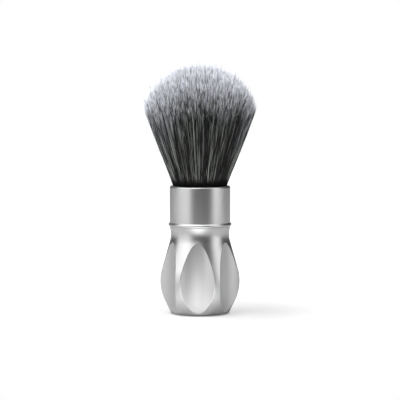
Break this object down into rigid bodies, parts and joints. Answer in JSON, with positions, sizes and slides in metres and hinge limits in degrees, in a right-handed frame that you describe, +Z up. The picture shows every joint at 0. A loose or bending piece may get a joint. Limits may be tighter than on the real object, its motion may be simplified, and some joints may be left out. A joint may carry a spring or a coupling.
{
  "type": "shaving brush",
  "caption": "Shaving brush: fluted bulb handle in satin metal, screw-off collar with a bead at its foot, and a fan knot of dark synthetic fibres with pale tips.",
  "frame": {"origin": "on the brush's axis, on the surface that its foot pad stands on", "axes": "+Z up the axis, from the foot to the tips of the knot; -Y through the middle of one flute, so two ridges lie on the X axis"},
  "size_m": [0.0516, 0.0516, 0.1145],
  "materials": {
    "satin_metal": "fine bead-blasted satin, clear anodised",
    "stainless_steel": "rolled thread, plain",
    "bright_steel": "turned, zinc plated",
    "black_rubber": "moulded silicone rubber, fine texture",
    "seal_rubber": "moulded nitrile ring",
    "cast_resin": "cast epoxy with fibre ends in it",
    "adhesive": "set epoxy film",
    "waxed_twine": "waxed polyester thread",
    "fibres": "fine tapered synthetic fibres, charcoal shafts, pale lilac-grey tips"
  },
  "bodies": {
    "handle": {"handle_body": "satin_metal", "base_plug": "satin_metal", "base_seal": "seal_rubber", "ballast_weight": "bright_steel", "foot_pad": "black_rubber"},
    "seal_carrier": {"joint_seal": "seal_rubber"},
    "head": {"collar": "satin_metal", "thread_stud": "stainless_steel", "setting_adhesive": "adhesive", "knot_root": "cast_resin", "binding_twine": "waxed_twine", "knot_fibres": "fibres"}
  },
  "joints": [
    {"name": "collar_lift", "type": "slide", "parent": "handle", "child": "seal_carrier", "axis": [0, 0, 1], "range_m": [0, 0.00875]},
    {"name": "collar_turn", "type": "hinge", "parent": "seal_carrier", "child": "head", "pos_m": [0, 0, 0.0402], "axis": [0, 0, 1], "range_deg": [0, 1800]}
  ],
  "couplings": [
    {"joint": "collar_lift", "follows": "collar_turn", "m_per_rad": 0.00027852}
  ]
}
